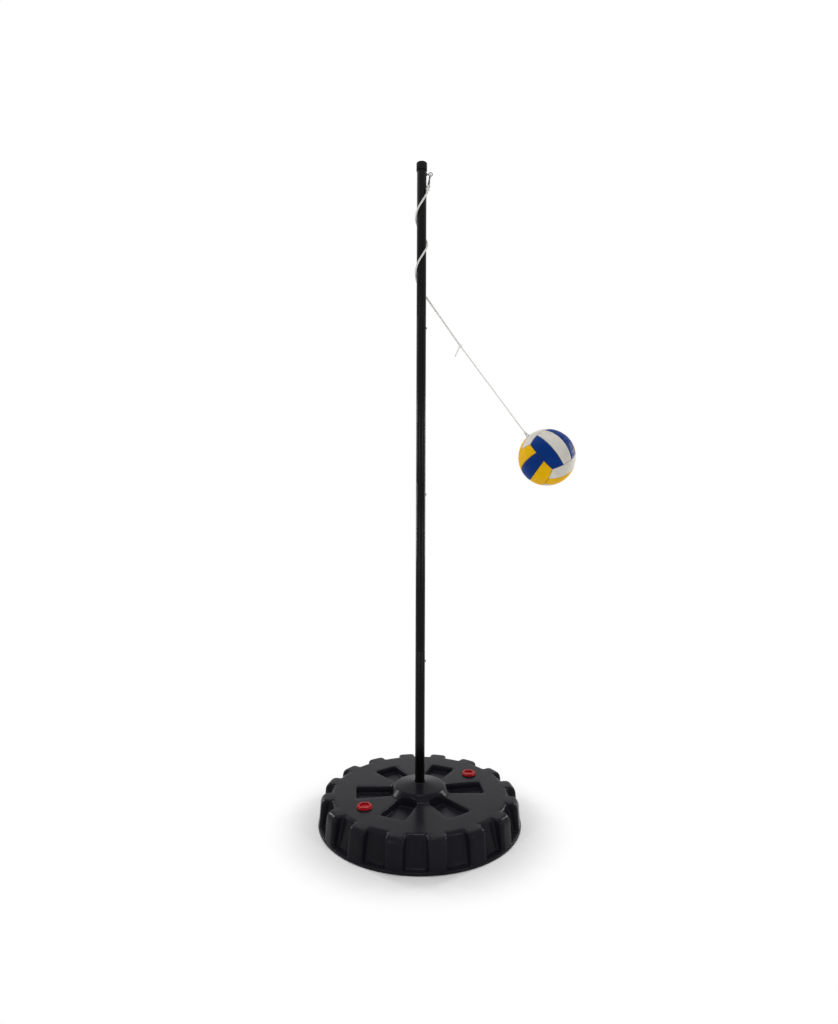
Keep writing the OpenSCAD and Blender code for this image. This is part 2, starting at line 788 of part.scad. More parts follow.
module panels_blue() {
    color(blue) panels([for (t = x_faces) [t, 90, [-1, 1]], for (t = z_faces) [t, 0, [0]]]);
}

module panels_white() {
    color(white) panels([for (t = x_faces) [t, 90, [0]], for (t = y_faces) [t, 90, [-1, 1]]]);
}

module panels_yellow() {
    color(yellow) panels([for (t = z_faces) [t, 0, [-1, 1]], for (t = y_faces) [t, 90, [0]]]);
}

module valve() {
    color("#242426") at_ball() along_valve()
        translate([0, 0, bladder_r - 2]) cylinder(r = valve_r, h = ball_r - bladder_r + 1.5);
}

module eyelet_cup() {
    color("#2a2a2c") at_ball() difference() {
        intersection() {
            translate([0, 0, ball_r - cup_depth - cup_wall]) cylinder(r = cup_r, h = cup_depth + 10);
            sphere(r = ball_r, $fn = 96);
        }
        translate([0, 0, ball_r - cup_depth]) cylinder(d = cup_bore, h = cup_depth + 10);
        translate([0, 0, ball_r - bar_depth]) rotate([90, 0, 0])
            cylinder(d = bar_d, h = cup_bore + 2 * cup_wall, center = true);
    }
}

module eyelet_bar() {
    color(grey_metal) at_ball() translate([0, 0, ball_r - bar_depth]) rotate([90, 0, 0])
        cylinder(d = bar_d, h = cup_bore + cup_wall, center = true);
}

// ---------- the whole set ----------

tank();
filler_cap(0);  // filler_cap_left
filler_cap(1);  // filler_cap_right
filler_seal(0);  // filler_seal_left
filler_seal(1);  // filler_seal_right
foot_plug();
pole_section_1();
pole_section_2();
pole_section_3();
pole_section_4();
top_cap();
snap_button(0);  // snap_button_1
snap_button(1);  // snap_button_2
snap_button(2);  // snap_button_3
button_spring(0);  // button_spring_1
button_spring(1);  // button_spring_2
button_spring(2);  // button_spring_3
rivet_nut();
eye_lock_nut();
eye_bolt();
snap_hook_body();
snap_bolt();
snap_bolt_spring();
swivel_eye();
rope_end_knot();
rope_winding();
rope_turnoff();
rope_upper();
mid_knot();
knot_tail();
ball_cord();
ball_knot();
bladder();
carcass();
panels_blue();
panels_white();
panels_yellow();
valve();
eyelet_cup();
eyelet_bar();
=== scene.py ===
import math

import bmesh
import bpy
from mathutils import Matrix, Vector
from mathutils.geometry import delaunay_2d_cdt


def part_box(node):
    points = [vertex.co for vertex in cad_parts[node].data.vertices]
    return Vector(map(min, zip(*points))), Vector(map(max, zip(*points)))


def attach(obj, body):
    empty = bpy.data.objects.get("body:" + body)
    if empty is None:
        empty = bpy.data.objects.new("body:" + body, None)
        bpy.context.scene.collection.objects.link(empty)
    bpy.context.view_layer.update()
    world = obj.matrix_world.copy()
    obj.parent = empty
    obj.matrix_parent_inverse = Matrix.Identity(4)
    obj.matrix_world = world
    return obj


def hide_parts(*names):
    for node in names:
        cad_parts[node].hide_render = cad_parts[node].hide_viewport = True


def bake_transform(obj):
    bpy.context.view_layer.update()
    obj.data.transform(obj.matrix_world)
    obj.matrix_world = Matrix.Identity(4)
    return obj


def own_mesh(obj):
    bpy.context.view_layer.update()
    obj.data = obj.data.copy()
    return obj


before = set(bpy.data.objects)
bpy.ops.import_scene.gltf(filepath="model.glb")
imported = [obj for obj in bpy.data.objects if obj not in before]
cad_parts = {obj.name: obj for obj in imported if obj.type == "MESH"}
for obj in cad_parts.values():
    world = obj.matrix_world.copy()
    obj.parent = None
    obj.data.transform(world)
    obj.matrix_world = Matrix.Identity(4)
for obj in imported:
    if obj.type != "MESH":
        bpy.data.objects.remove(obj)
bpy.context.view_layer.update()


# ---------- camera ----------
# A level camera stands 2.3 m in front of the base at waist height. It looks along +Y and takes in
# the whole pole, and it is rolled by a fifth of a degree.

mm = 0.001


def add_object(name, data):
    thing = bpy.data.objects.new(name, data)
    bpy.context.scene.collection.objects.link(thing)
    return thing


camera_data = bpy.data.cameras.new("camera")
camera_data.lens = 22.0
camera_data.sensor_width = 36.0
camera = add_object("camera", camera_data)
camera.location = (-6 * mm, -2280 * mm, 1117 * mm)
camera.rotation_euler = (math.radians(90), math.radians(-0.19), 0)
bpy.context.scene.camera = camera


# ---------- braided finish ----------
# The rope and the cord are braided from white polyester yarn: strands cross over and under each other
# round a core, and each strand shows the few yarns that it is twisted from.

def srgb(red, green, blue):
    """A colour written from 0 to 255, as the linear colour that a socket takes."""
    return tuple(((c / 255 + 0.055) / 1.055) ** 2.4 for c in (red, green, blue)) + (1,)


def put(tree, kind, sockets=None, **settings):
    """Places a shader node. Each named socket takes a value, or the output of another node."""
    node = tree.nodes.new("ShaderNode" + kind)
    for name, value in settings.items():
        setattr(node, name, value)
    for name, value in (sockets or {}).items():
        if isinstance(value, bpy.types.NodeSocket):
            tree.links.new(value, node.inputs[name])
        else:
            node.inputs[name].default_value = value
    return node


def calc(tree, operation, *values):
    """The result of a Math node."""
    return put(tree, "Math", dict(enumerate(values)), operation=operation).outputs[0]


def ease(tree, value, low, high, to_low=0.0, to_high=1.0):
    """Takes a value smoothly from one range to another."""
    node = put(tree, "MapRange", {"Value": value, "From Min": low, "From Max": high,
                                  "To Min": to_low, "To Max": to_high}, interpolation_type="SMOOTHSTEP")
    return node.outputs[0]


def tint(tree, share, first, second):
    """The colour of a Mix node; a share of 0 is the first colour."""
    return put(tree, "Mix", {0: share, 6: first, 7: second}, data_type="RGBA").outputs[2]


def new_group(name, takes, gives):
    """An empty node group. takes and gives list its sockets as name: (kind, value)."""
    tree = bpy.data.node_groups.new(name, "ShaderNodeTree")
    for label, (kind, value) in takes.items():
        socket = tree.interface.new_socket(label, in_out="INPUT", socket_type="NodeSocket" + kind)
        if value is not None:
            socket.default_value = value
    for label, kind in gives.items():
        tree.interface.new_socket(label, in_out="OUTPUT", socket_type="NodeSocket" + kind)
    return tree, tree.nodes.new("NodeGroupInput").outputs, tree.nodes.new("NodeGroupOutput").inputs


def use_group(tree, group, **sockets):
    """Places a node group in a material. Underscores in a socket's name stand for spaces."""
    named = {name.replace("_", " "): value for name, value in sockets.items()}
    return put(tree, "Group", named, node_tree=group).outputs


def new_finish(name, **constants):
    """A material with one Principled shader. Its constants are set on the shader's own sockets."""
    material = bpy.data.materials.new(name)
    material.use_nodes = True
    tree = material.node_tree
    shader = tree.nodes["Principled BSDF"]
    for socket, value in constants.items():
        shader.inputs[socket.replace("_", " ")].default_value = value
    return material, tree, shader.inputs


def raise_surface(tree, height, depth):
    """The normal of a surface raised by a height from 0 to 1, depth metres deep."""
    return put(tree, "Bump", {"Height": height, "Distance": depth, "Strength": 1.0}).outputs[0]


yarns_across = 8         # ridges of yarn that cross each strand
braid, takes, gives = new_group(
    "braid",
    {"UV": ("Vector", None), "Strands": ("Float", 8.0), "Strand Length": ("Float", 0.0026)},
    {"Height": "Float", "Gap": "Float", "Yarn": "Float"})
split = put(braid, "SeparateXYZ", {0: takes["UV"]}).outputs
round_it = calc(braid, "MULTIPLY", split[0], takes["Strands"])
along_it = calc(braid, "DIVIDE", split[1], takes["Strand Length"])
cross_ways = [calc(braid, "ADD", round_it, along_it), calc(braid, "SUBTRACT", round_it, along_it)]
crowns = [calc(braid, "ABSOLUTE", calc(braid, "SINE", calc(braid, "MULTIPLY", way, math.pi)))
          for way in cross_ways]
cells = calc(braid, "ADD", *[calc(braid, "FLOOR", way) for way in cross_ways])
over = calc(braid, "FLOORED_MODULO", cells, 2.0)
under = calc(braid, "SUBTRACT", 1.0, over)
swells = [calc(braid, "MULTIPLY_ADD", crown, 0.5, 0.5) for crown in crowns]
yarns = [calc(braid, "SINE", calc(braid, "MULTIPLY", way, yarns_across * math.pi)) for way in cross_ways]
bodies = [calc(braid, "MULTIPLY", crowns[0], swells[1]), calc(braid, "MULTIPLY", crowns[1], swells[0])]
picked = calc(braid, "ADD", calc(braid, "MULTIPLY", bodies[0], over),
              calc(braid, "MULTIPLY", bodies[1], under))
yarn = calc(braid, "ADD", calc(braid, "MULTIPLY", yarns[0], over), calc(braid, "MULTIPLY", yarns[1], under))
braid.links.new(calc(braid, "MULTIPLY_ADD", yarn, 0.05, picked), gives["Height"])
braid.links.new(ease(braid, picked, 0.0, 0.35, 1.0, 0.0), gives["Gap"])
braid.links.new(yarn, gives["Yarn"])


def braided(name, strand_length, depth):
    """White braided polyester, for a tube whose UV runs once round it and along it in metres."""
    material, tree, shader = new_finish(name, Roughness=0.78, Sheen_Weight=0.25, Sheen_Roughness=0.4)
    uv = put(tree, "TexCoord").outputs["UV"]
    plait = use_group(tree, braid, UV=uv, Strand_Length=strand_length)
    fluff = put(tree, "TexNoise", {"Scale": 900.0, "Detail": 3.0}).outputs["Fac"]
    soil = put(tree, "TexNoise", {"Scale": 30.0, "Detail": 4.0}).outputs["Fac"]
    clean = tint(tree, ease(tree, soil, 0.35, 0.75), srgb(250, 249, 246), srgb(243, 241, 235))
    # Painted shade: the gaps between the strands are darkened towards grey.
    shaded = tint(tree, calc(tree, "MULTIPLY", plait["Gap"], 0.45), clean, srgb(178, 176, 170))
    fluffy = tint(tree, calc(tree, "MULTIPLY", fluff, 0.12), shaded, srgb(255, 255, 255))
    tree.links.new(fluffy, shader["Base Color"])
    height = calc(tree, "MULTIPLY_ADD", fluff, 0.18, plait["Height"])
    tree.links.new(raise_surface(tree, height, depth), shader["Normal"])
    return material


rope_finish = braided("rope braid", 0.0026, 0.0006)
cord_finish = braided("cord braid", 0.0018, 0.0004)


# ---------- rope on the pole ----------
# The 6.5 mm rope starts in the knot at the swivel and goes down round the pole one and a half times.
# It is one length of rope, cut here into three pieces.

rope_r = 3.25
wrap_r = 21.2
rope_step = 2.0
wrap_passes = [(-80, 2242), (-180, 2187), (-360, 2093), (-540, 1987), (-585, 1955.3), (-630, 1932)]
eye_centre = Vector((32, 0, 2347))
hook_lean = 16.5
hook_turn = 57


def rotation(degrees, axis):
    return Matrix.Rotation(math.radians(degrees), 4, axis)


hook_way = rotation(hook_turn, "Z") @ rotation(hook_lean, "Y") @ rotation(-hook_turn, "Z")
up_hook = hook_way @ Vector((0, 0, 1))
knot_end = 71.0      # from the eye down to the end of the swivel's knot
upper_route = [[12 * k, 1932 - 17 * k] for k in range(12)] + [[140, 1733.7]]


def hook_point(down):
    """A point on the hook's own axis, below the eye."""
    return eye_centre - down * up_hook


def between(table, key):
    """Reads a table of falling keys, straight between its rows."""
    for (high, first), (low, second) in zip(table, table[1:]):
        if key >= low:
            return first + (second - first) * (high - key) / (high - low)
    return table[-1][1]


def wound_point(turn):
    """Where the rope lies on the pole at this turn from +X; its slope changes gently."""
    window = min(24, wrap_passes[0][0] - turn, turn - wrap_passes[-1][0])
    height = sum(between(wrap_passes, turn + window * k / 2) for k in (-2, -1, 0, 1, 2)) / 5
    angle = math.radians(turn)
    return Vector((wrap_r * math.cos(angle), wrap_r * math.sin(angle), height))


def smooth_line(points, step):
    """Evenly spaced points on a smooth curve through the given ones, which may be spaced unevenly."""
    ends = [2 * points[0] - points[1], *points, 2 * points[-1] - points[-2]]
    fine = []
    for a, b, c, d in zip(ends, ends[1:], ends[2:], ends[3:]):
        tb = (b - a).length ** 0.5
        tc = tb + (c - b).length ** 0.5
        td = tc + (d - c).length ** 0.5
        for k in range(12):
            t = tb + (tc - tb) * k / 12
            ab = a + (b - a) * (t / tb)
            bc = b + (c - b) * ((t - tb) / (tc - tb))
            cd = c + (d - c) * ((t - tc) / (td - tc))
            abc = ab + (bc - ab) * (t / tc)
            bcd = bc + (cd - bc) * ((t - tb) / (td - tb))
            fine.append(abc + (bcd - abc) * ((t - tb) / (tc - tb)))
    fine.append(points[-1])
    reach = [0.0]
    for p, q in zip(fine, fine[1:]):
        reach.append(reach[-1] + (q - p).length)
    count = max(2, round(reach[-1] / step))
    line, i = [], 0
    for k in range(count + 1):
        goal = reach[-1] * k / count
        while i < len(fine) - 2 and reach[i + 1] < goal:
            i += 1
        line.append(fine[i] + (fine[i + 1] - fine[i]) * ((goal - reach[i]) / (reach[i + 1] - reach[i])))
    return line


blunt_shares = {0: 0.55, 1: 0.88}        # a rounded end's radius, at its last ring and the one before


def sweep(line, radius, around=20, side=None, from_v=0.0, blunt=(False, False)):
    """A tube's corners, faces and UVs, its last side and its length. blunt rounds over an end."""
    last = len(line) - 1
    headings = [(line[min(i + 1, last)] - line[max(i - 1, 0)]).normalized() for i in range(last + 1)]
    side = side or headings[0].orthogonal().normalized()
    corners, faces, uvs, v = [], [], [], [from_v]
    for i, point in enumerate(line):
        if i:
            side = headings[i - 1].rotation_difference(headings[i]) @ side
            v.append(v[-1] + (point - line[i - 1]).length * mm)
        up = headings[i].cross(side)
        near_end = min(i if blunt[0] else last, last - i if blunt[1] else last)
        r = radius * blunt_shares.get(near_end, 1)
        for k in range(around):
            angle = 2 * math.pi * k / around
            corners.append((point + r * (math.cos(angle) * side + math.sin(angle) * up)) * mm)
    for i in range(last):
        for k in range(around):
            here, there = i * around, (i + 1) * around
            after = (k + 1) % around
            faces.append((here + k, here + after, there + after, there + k))
            left, right = k / around, (k + 1) / around
            uvs += [(left, v[i]), (right, v[i]), (right, v[i + 1]), (left, v[i + 1])]
    faces.append(tuple(range(around - 1, -1, -1)))
    faces.append(tuple(range(last * around, (last + 1) * around)))
    uvs += [(0.5, v[0])] * around + [(0.5, v[-1])] * around
    return corners, faces, uvs, side, v[-1]


def new_piece(name, parts, material):
    """An object made of one or more parts. Each part starts with its corners, faces and UVs."""
    corners, faces, uvs = [], [], []
    for part in parts:
        faces += [tuple(len(corners) + k for k in face) for face in part[1]]
        corners += part[0]
        uvs += part[2]
    mesh = bpy.data.meshes.new(name)
    mesh.from_pydata(corners, [], faces)
    layer = mesh.uv_layers.new(name="length")
    layer.data.foreach_set("uv", [value for uv in uvs for value in uv])
    mesh.polygons.foreach_set("use_smooth", [True] * len(mesh.polygons))
    mesh.materials.append(material)
    mesh.update()
    return add_object(name, mesh)


lead_line = smooth_line([hook_point(knot_end), hook_point(knot_end + 6.5), hook_point(knot_end + 9)]
                        + [wound_point(turn) for turn in range(-92, -181, -8)], rope_step)
wound_line = smooth_line([wound_point(turn) for turn in range(-180, -631, -10)], rope_step)
free_line = smooth_line([Vector((x, wrap_r, z)) for x, z in upper_route], rope_step)

*lead_tube, lead_side, lead_end = sweep(lead_line, rope_r)
rope_lead = new_piece("rope_lead", [lead_tube], rope_finish)
*wound_tube, wound_side, wound_end = sweep(wound_line, rope_r, side=lead_side, from_v=lead_end)
rope_wound = new_piece("rope_wound", [wound_tube], rope_finish)
free_tube = sweep(free_line, rope_r, side=wound_side, from_v=wound_end)
rope_free = new_piece("rope_free", [free_tube], rope_finish)

for piece, cut in ((rope_lead, "rope_winding"), (rope_wound, "rope_winding"), (rope_wound, "rope_turnoff"),
                   (rope_free, "rope_upper")):
    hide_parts(cut)
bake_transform(rope_lead)
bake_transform(rope_wound)
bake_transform(rope_free)


# ---------- knots ----------
# Each knot is tied in the rope or cord itself: a few tight turns round the standing part, with one
# turn riding back over them. The yarn is squeezed, so it is thinner in the knot than outside it.

def tied_turns(radius, pitch, turns, ride, face):
    """The line of a knot's turns along Z. face is where its riding turn lies, in degrees."""
    half = pitch * turns / 2
    coil = []
    steps = round(turns * 14)
    for k in range(steps + 1):
        angle = math.radians(face + 100 + 360 * turns * (k / steps - 1))
        coil.append(Vector((radius * math.cos(angle), radius * math.sin(angle), half * (1 - 2 * k / steps))))
    back = []
    for k in range(1, 9):
        share = k / 9
        angle = math.radians(face + 100 - 200 * share)
        out = radius + ride * math.sin(math.pi * share) ** 0.6
        back.append(Vector((out * math.cos(angle), out * math.sin(angle), half * (2 * share - 1))))
    return coil + back + [Vector((0, 0, half * 0.9))]


def moved(line, place):
    return [place @ point for point in line]


hook_frame = Matrix.Translation(eye_centre) @ hook_way
loop_z = -58.3       # the bottom of the swivel's ring, where the rope's loop goes round it
loop_r = 5.15
ring_knot_z = -65.6
loop_round = [Vector((0, loop_r * math.sin(a), loop_z + loop_r * math.cos(a)))
              for a in (math.radians(k * 15 - 165) for k in range(23))]
loop_ends = [Vector((0, -0.8, -67.5)), Vector((0, 0.8, -67.5))]
loop_line = smooth_line(moved(loop_ends[:1] + loop_round + loop_ends[1:], hook_frame), 1.2)
tied_line = smooth_line(moved(tied_turns(3.3, 3.3, 2, 1.4, -35),
                              hook_frame @ Matrix.Translation((0, 0, ring_knot_z))), 1.2)
stub_line = smooth_line(moved([Vector((0, 0, -63.5)), Vector((0.6, 0, -67)), Vector((0, 0, 0.03 - knot_end))],
                              hook_frame), 1.0)
loose_end = smooth_line(moved([Vector((1.5, -1.2, -66.5)), Vector((4, -2.8, -67.6)), Vector((5.2, -3.4, -70)),
                               Vector((5.3, -3.4, -73))], hook_frame), 1.0)      # clears the pole as it turns
swivel_knot = new_piece("swivel_knot", [
    sweep(loop_line, rope_r), sweep(tied_line, 2.65), sweep(stub_line, rope_r),
    sweep(loose_end, 2.8, blunt=(False, True))], rope_finish)
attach(swivel_knot, "swivel")
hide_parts("rope_end_knot")

cord_r = 2.25
mid_knot_at = Vector((144, wrap_r, 1728))
upper_lean = math.degrees(math.atan2(-12, 17))
at_mid_knot = Matrix.Translation(mid_knot_at) @ rotation(upper_lean, "Y")
tail_route = [[140, 1722], [136, 1713], [132, 1704], [128, 1696], [125, 1688]]
upper_into = smooth_line([Vector((139.6, wrap_r, 1734.3)), mid_knot_at, Vector((146, wrap_r, 1725.3))], 1.2)
lower_into = smooth_line([mid_knot_at, Vector((147.9, wrap_r, 1722.8))], 1.0)
rope_bight = smooth_line(moved([Vector((0, 0, 5)), Vector((4.6, 1, 2)), Vector((5, 2, -3)),
                                Vector((1.5, 1.5, -6.5)), Vector((-2.8, 0.5, -3.5)), Vector((-1, 0, 1))],
                               at_mid_knot), 1.2)
mid_turns = smooth_line(moved(tied_turns(3.6, 3.5, 2, 1.5, 250), at_mid_knot), 1.2)
mid_knot = new_piece("cord_knot", [
    sweep(upper_into, rope_r, blunt=(False, True)), sweep(lower_into, cord_r),
    sweep(rope_bight, 2.3), sweep(mid_turns, 2.1)], cord_finish)
tail_line = smooth_line([Vector((x, wrap_r, z)) for x, z in [(142.5, 1726.5)] + tail_route], 1.5)
knot_tail = new_piece("cord_tail", [sweep(tail_line, cord_r, 16, blunt=(False, True))], cord_finish)


# ---------- cord to the ball ----------
# A thinner 4.5 mm cord runs from the knot half way to a small knot at the ball. Below it the cord goes
# down into the recess as a loop round the bar.

lower_route = [[147.6, 1723.2]] + [[162 + 15 * k, 1704 - 20 * k] for k in range(15)] + [[380.4, 1412.8]]
ball_knot_at = Vector((384, wrap_r, 1408))
ball_lean = 42
at_ball_knot = Matrix.Translation(ball_knot_at) @ rotation(-ball_lean, "Y")
bar_reach = 22.0
turn_r = 4.45
cord_line = smooth_line([Vector((x, wrap_r, z)) for x, z in lower_route], rope_step)
ball_cord = new_piece("ball_cord_braid", [sweep(cord_line, cord_r, 16)], cord_finish)
into_knot = smooth_line([Vector((380.3, wrap_r, 1412.9)), ball_knot_at], 1.0)
ball_turns = smooth_line(moved(tied_turns(2.7, 3.2, 2, 1.2, -80), at_ball_knot), 1.0)
bend = [Vector((turn_r * math.cos(a), 0, -bar_reach - turn_r * math.sin(a)))
        for a in (math.radians(k * 15) for k in range(13))]
loop_down = [Vector((1.4, 0, 0)), Vector((2.6, 0, -6)), Vector((turn_r - 0.3, 0, -13))]
loop_up = [Vector((-p.x, 0, p.z)) for p in reversed(loop_down)]
bar_loop = smooth_line(moved(loop_down + bend + loop_up, at_ball_knot), 1.2)
ball_knot = new_piece("ball_knot_braid", [
    sweep(into_knot, cord_r, 16), sweep(ball_turns, 1.95, 16),
    sweep(bar_loop, cord_r, 16)], cord_finish)
for piece, node in ((mid_knot, "mid_knot"), (knot_tail, "knot_tail"), (ball_cord, "ball_cord"),
                    (ball_knot, "ball_knot")):
    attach(piece, "string")
    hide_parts(node)


# ---------- tank ----------
# The base is one blow-moulded polyethylene tank, filled with water or sand. Sixteen lobes stiffen its
# side, six pockets are hand holds, and the hub in the middle holds the pole's foot.

grain, takes, gives = new_group(
    "moulded grain",
    {"Vector": ("Vector", None), "Grain Size": ("Float", 0.0012), "Patch Size": ("Float", 0.12)},
    {"Height": "Float", "Patches": "Float", "Scuffs": "Float"})
fine = put(grain, "TexNoise", {"Vector": takes["Vector"], "Detail": 2.0, "Roughness": 0.6,
                               "Scale": calc(grain, "DIVIDE", 1.0, takes["Grain Size"])}).outputs["Fac"]
ripple = put(grain, "TexNoise", {"Vector": takes["Vector"], "Detail": 3.0, "Roughness": 0.5,
                                 "Scale": calc(grain, "DIVIDE", 1.0, takes["Patch Size"])}).outputs["Fac"]
stretched = put(grain, "VectorMath", {0: takes["Vector"], 1: (1.0, 0.16, 0.5)},
                operation="MULTIPLY").outputs[0]
scratches = put(grain, "TexNoise", {"Vector": stretched, "Scale": 420.0, "Detail": 5.0, "Roughness": 0.7,
                                    "Distortion": 1.2}).outputs["Fac"]
grain.links.new(calc(grain, "MULTIPLY_ADD", ripple, 0.6, calc(grain, "MULTIPLY", fine, 0.4)), gives["Height"])
grain.links.new(ease(grain, ripple, 0.3, 0.7), gives["Patches"])
grain.links.new(calc(grain, "MULTIPLY", ease(grain, scratches, 0.66, 0.74), ease(grain, ripple, 0.45, 0.7)),
                gives["Scuffs"])


def moulded(name, colour, faded, roughness, grain_size, depth, **constants):
    """Moulded plastic or rubber: fine grain, patches of a faded colour and a few pale scuffs."""
    material, tree, shader = new_finish(name, **constants)
    place = put(tree, "TexCoord").outputs["Object"]
    skin = use_group(tree, grain, Vector=place, Grain_Size=grain_size)
    body = tint(tree, skin["Patches"], colour, faded)
    rubbed = tuple(min(1, 3 * c + 0.02) for c in faded)
    scuffed = tint(tree, calc(tree, "MULTIPLY", skin["Scuffs"], 0.35), body, rubbed)
    tree.links.new(scuffed, shader["Base Color"])
    rough = calc(tree, "MULTIPLY_ADD", skin["Patches"], 0.06, roughness)
    tree.links.new(calc(tree, "MULTIPLY_ADD", skin["Scuffs"], 0.2, rough), shader["Roughness"])
    tree.links.new(raise_surface(tree, skin["Height"], depth), shader["Normal"])
    return material


tank_finish = moulded("blow moulded polyethylene", srgb(23, 22, 27), srgb(28, 27, 32), 0.2, 0.0014, 0.0001,
                      Specular_IOR_Level=0.055)

rim_r = 364
rim_h = 10
deck_z = 105
hub_z = 139
shoulder_z = 74          # where a lobe's front starts to turn in
edge_z = 89              # where a recess's wall starts to turn in
lobe_count = 16
lobe_turn = 9.25
lobe_half = 31
lobe_corner = 12
front_top = 336          # a lobe's front from the axis at the deck, and how far it stands out below
front_bulge = 21
front_slope = 5
wall_top = 306           # the same for a recess's wall
wall_bulge = 16
wall_slope = 20
rim_margin = 2.3         # the lobes stay this far inside the rim
fillet = 8
side_round = 7
pocket_count = 6
pocket_turn = 36
pocket_in = 96
pocket_out = 230
pocket_half_in = 36
pocket_half_out = 48
pocket_depth = 22
pocket_draft = 5
pocket_corner = 12
tight_corner = 5         # the corner's radius never falls below this
filler_r = 234
filler_turns = (-54, 126)
neck_r = 18
socket_r = 17.8
socket_floor = 8
crown_profile = [(420, deck_z), (110, deck_z), (88, 125.4), (26, 136), (0, 140.8)]


def on_turn(turn, out, across=0.0):
    """A point at a distance from the axis on a line turned from the front, and across that line."""
    angle = math.radians(turn - 90)
    return (out * math.cos(angle) - across * math.sin(angle),
            out * math.sin(angle) + across * math.cos(angle))


def crown_height(r):
    """Height of the top at a distance from the axis, with its creases rounded off."""
    return sum(between(crown_profile, r + d) for d in (-3, -2, -1, 0, 1, 2, 3)) / 7


def arc_points(x, y, radius, start, end, steps):
    return [(x + radius * math.cos(start + (end - start) * k / steps),
             y + radius * math.sin(start + (end - start) * k / steps)) for k in range(steps)]


def lobe_outline(z, foot):
    """One lobe and half a recess on either side, from above at this height. foot spreads it at its foot."""
    rise, edge_rise, side_rise = [math.asin(min(1, max(0, (z - low) / (deck_z - low))))
                                  for low in (shoulder_z, edge_z, deck_z - side_round)]
    front = (front_top + front_bulge * math.cos(rise)
             + front_slope * max(0, shoulder_z - z) / (shoulder_z - rim_h))
    front = min(front, rim_r - rim_margin)
    wall = wall_top + wall_bulge * math.cos(edge_rise) + wall_slope * max(0, edge_z - z) / edge_z + foot
    half = lobe_half - side_round * (1 - math.cos(side_rise)) + foot
    pitch = math.pi / lobe_count
    inner_x = math.sqrt((wall + fillet) ** 2 - (half + fillet) ** 2)
    inner_angle = math.atan2(-half - fillet, inner_x)
    corner = lobe_corner - side_round * 0.3 * (1 - math.cos(side_rise))
    outer_x = math.sqrt((front - corner) ** 2 - (half - corner) ** 2)
    outer_angle = math.atan2(corner - half, outer_x)
    side = ([(inner_x + (outer_x - inner_x) * k / 3, -half) for k in range(3)] if outer_x > inner_x
            else [(inner_x, -half)] * 3)
    points = (arc_points(0, 0, wall, -pitch, inner_angle, 4)
              + arc_points(inner_x, -half - fillet, fillet, inner_angle + math.pi, math.pi / 2, 4)
              + side
              + arc_points(outer_x, corner - half, corner, -math.pi / 2, outer_angle, 5))
    front_arc = arc_points(0, 0, front, outer_angle, -outer_angle, 6)
    return points + front_arc + [(x, -y) for x, y in reversed(points + [front_arc[0]])][:-1]


def whole_outline(z, foot):
    """The side's outline at this height, all round."""
    outline = []
    for i in range(lobe_count):
        turn = lobe_turn + i * 360 / lobe_count
        outline += [on_turn(turn, x, y) for x, y in lobe_outline(z, foot)]
    return outline


def pocket_loop(inset):
    """A pocket's outline drawn in by inset: four straight sides and round corners."""
    slope = (pocket_half_out - pocket_half_in) / (pocket_out - pocket_in)
    near, far = pocket_in + inset, pocket_out - inset
    trim = inset * math.hypot(1, slope)
    half = [pocket_half_in - trim + (x - pocket_in) * slope for x in (near, far)]
    corners = [Vector(c) for c in ((near, -half[0]), (far, -half[1]), (far, half[1]), (near, half[0]))]
    bend_r = max(tight_corner, pocket_corner - inset)
    loop = []
    for before, at, after in zip(corners[-1:] + corners[:-1], corners, corners[1:] + corners[:1]):
        into, out_of = (at - before).normalized(), (after - at).normalized()
        cut = bend_r * math.tan(into.angle(out_of) / 2)
        start, end = at - into * cut, at + out_of * cut
        centre = start + Vector((-into.y, into.x)) * bend_r
        first = math.atan2(*(start - centre).yx)
        sweep_angle = into.angle(out_of)
        angles = [first + sweep_angle * k / 6 for k in range(7)]
        loop += [centre + bend_r * Vector((math.cos(a), math.sin(a))) for a in angles]
        onward = after - out_of * bend_r
        loop += [end + (onward - end) * k / 8 for k in range(1, 8)]
    return loop


def mesh_of(name, shape):
    """The mesh of a bmesh, which is used up."""
    mesh = bpy.data.meshes.new(name)
    shape.to_mesh(mesh)
    shape.free()
    return mesh


tank_mesh = bmesh.new()


def ring_of(points, z):
    """Corners in a closed ring. z is one height, or a function of each point."""
    return [tank_mesh.verts.new((x * mm, y * mm, (z(x, y) if callable(z) else z) * mm)) for x, y in points]


def circle(radius, count, centre=(0, 0), start=0.0):
    return arc_points(*centre, radius, start, start + 2 * math.pi, count)


def join_rings(rings, close=False):
    """Quads between each ring and the next. The surface faces left of the way from one to the next."""
    for low, high in zip(rings, rings[1:]):
        for k in range(len(low)):
            after = (k + 1) % len(low)
            tank_mesh.faces.new((low[k], low[after], high[after], high[k]))
    if close:
        tank_mesh.faces.new(rings[-1])


# the side, from the floor up over the rim and the lobes to the flat top
columns = [math.atan2(y, x) for x, y in whole_outline(rim_h, 3)]
rim_rows = [(300, 0.6), (352, 0.6), (354, 0), (361, 0), (362.6, 0.5), (363.6, 1.6), (364, 3), (364, 4.7),
            (364.3, 5), (364, 5.3), (364, 7), (363.6, 8.5), (362.7, 9.6), (361.8, 10)]
side_rings = [ring_of([(r * math.cos(a), r * math.sin(a)) for a in columns], z) for r, z in rim_rows]
turn_in = deck_z - shoulder_z
side_rows = [(rim_h, 3.0), (rim_h + 0.9, 0.9), (rim_h + 3, 0), (30, 0), (52, 0), (66, 0)]
side_rows += [(shoulder_z + turn_in * math.sin(math.radians(a)), 0) for a in range(0, 81, 8)]
side_rows += [(deck_z - 0.12, 0), (deck_z, 0)]
side_rings += [ring_of(whole_outline(z, foot), z) for z, foot in side_rows]
join_rings(side_rings)
tank_mesh.faces.new(list(reversed(side_rings[0])))

